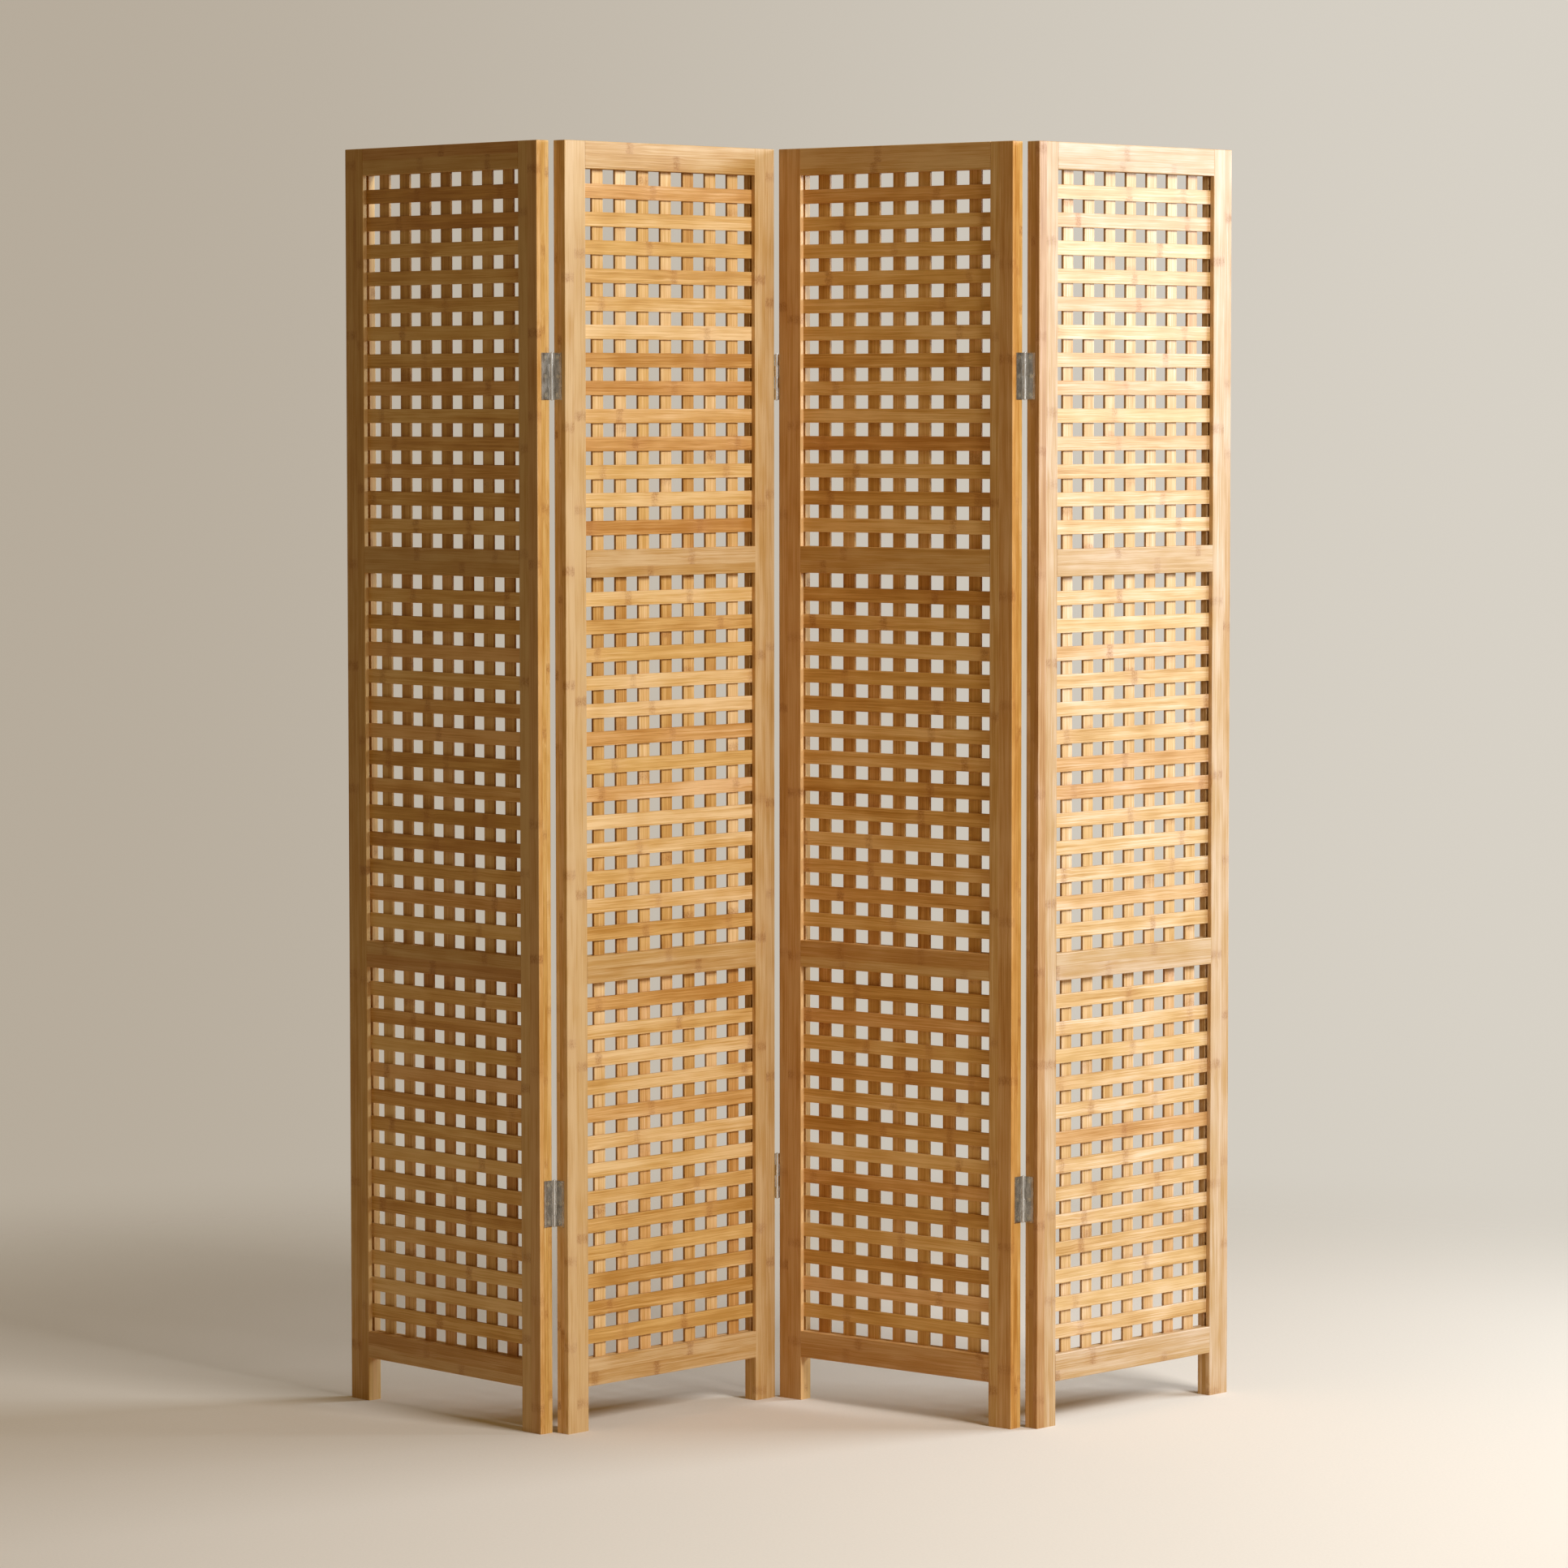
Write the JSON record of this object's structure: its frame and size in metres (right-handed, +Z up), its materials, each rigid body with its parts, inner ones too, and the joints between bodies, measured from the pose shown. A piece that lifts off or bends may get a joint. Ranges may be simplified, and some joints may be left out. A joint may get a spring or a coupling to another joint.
{
  "type": "folding screen",
  "caption": "Folding room screen: upright bamboo frames hinged side by side in a zigzag, each filled with a flat lattice of crossed slats; it folds flat.",
  "frame": {"origin": "middle of the floor space that the folded screen takes up, on the floor", "axes": "+Z up, +X along the screen from the left panel to the right, +Y from its front to its back"},
  "size_m": [1.2003, 0.344, 1.7],
  "materials": {
    "bamboo_frame": "clear satin lacquer on bamboo",
    "bamboo_slats": "clear satin lacquer on bamboo",
    "dowel_wood": "bare",
    "hinge_steel": "nickel plated, polished",
    "pin_steel": "nickel plated, polished",
    "screw_steel": "nickel plated, polished"
  },
  "bodies": {
    "panel_1": {"lower_hinge_1_2_left_leaf": "hinge_steel", "lower_hinge_1_2_pin": "pin_steel", "panel_1_bottom_rail": "bamboo_frame", "panel_1_horizontal_slats": "bamboo_slats", "panel_1_left_stile": "bamboo_frame", "panel_1_lower_middle_rail": "bamboo_frame", "panel_1_rail_dowels": "dowel_wood", "panel_1_right_hinge_screws": "screw_steel", "panel_1_right_stile": "bamboo_frame", "panel_1_top_rail": "bamboo_frame", "panel_1_upper_middle_rail": "bamboo_frame", "panel_1_vertical_slats": "bamboo_slats", "upper_hinge_1_2_left_leaf": "hinge_steel", "upper_hinge_1_2_pin": "pin_steel"},
    "panel_2": {"lower_hinge_1_2_right_leaf": "hinge_steel", "lower_hinge_2_3_left_leaf": "hinge_steel", "lower_hinge_2_3_pin": "pin_steel", "panel_2_bottom_rail": "bamboo_frame", "panel_2_horizontal_slats": "bamboo_slats", "panel_2_left_hinge_screws": "screw_steel", "panel_2_left_stile": "bamboo_frame", "panel_2_lower_middle_rail": "bamboo_frame", "panel_2_rail_dowels": "dowel_wood", "panel_2_right_hinge_screws": "screw_steel", "panel_2_right_stile": "bamboo_frame", "panel_2_top_rail": "bamboo_frame", "panel_2_upper_middle_rail": "bamboo_frame", "panel_2_vertical_slats": "bamboo_slats", "upper_hinge_1_2_right_leaf": "hinge_steel", "upper_hinge_2_3_left_leaf": "hinge_steel", "upper_hinge_2_3_pin": "pin_steel"},
    "panel_3": {"lower_hinge_2_3_right_leaf": "hinge_steel", "lower_hinge_3_4_left_leaf": "hinge_steel", "lower_hinge_3_4_pin": "pin_steel", "panel_3_bottom_rail": "bamboo_frame", "panel_3_horizontal_slats": "bamboo_slats", "panel_3_left_hinge_screws": "screw_steel", "panel_3_left_stile": "bamboo_frame", "panel_3_lower_middle_rail": "bamboo_frame", "panel_3_rail_dowels": "dowel_wood", "panel_3_right_hinge_screws": "screw_steel", "panel_3_right_stile": "bamboo_frame", "panel_3_top_rail": "bamboo_frame", "panel_3_upper_middle_rail": "bamboo_frame", "panel_3_vertical_slats": "bamboo_slats", "upper_hinge_2_3_right_leaf": "hinge_steel", "upper_hinge_3_4_left_leaf": "hinge_steel", "upper_hinge_3_4_pin": "pin_steel"},
    "panel_4": {"lower_hinge_3_4_right_leaf": "hinge_steel", "panel_4_bottom_rail": "bamboo_frame", "panel_4_horizontal_slats": "bamboo_slats", "panel_4_left_hinge_screws": "screw_steel", "panel_4_left_stile": "bamboo_frame", "panel_4_lower_middle_rail": "bamboo_frame", "panel_4_rail_dowels": "dowel_wood", "panel_4_right_stile": "bamboo_frame", "panel_4_top_rail": "bamboo_frame", "panel_4_upper_middle_rail": "bamboo_frame", "panel_4_vertical_slats": "bamboo_slats", "upper_hinge_3_4_right_leaf": "hinge_steel"}
  },
  "joints": [
    {"name": "fold_1_2", "type": "hinge", "parent": "panel_2", "child": "panel_1", "pos_m": [-0.3111, -0.158, 0.85], "axis": [0, 0, -1], "range_deg": [-94.5, 85.5]},
    {"name": "fold_2_3", "type": "hinge", "parent": "panel_2", "child": "panel_3", "pos_m": [-0.01764, 0.12071, 0.85], "axis": [0, 0, -1], "range_deg": [-87.1, 92.9]},
    {"name": "fold_3_4", "type": "hinge", "parent": "panel_3", "child": "panel_4", "pos_m": [0.30843, -0.11902, 0.85], "axis": [0, 0, 1], "range_deg": [-86.75, 93.25]}
  ]
}
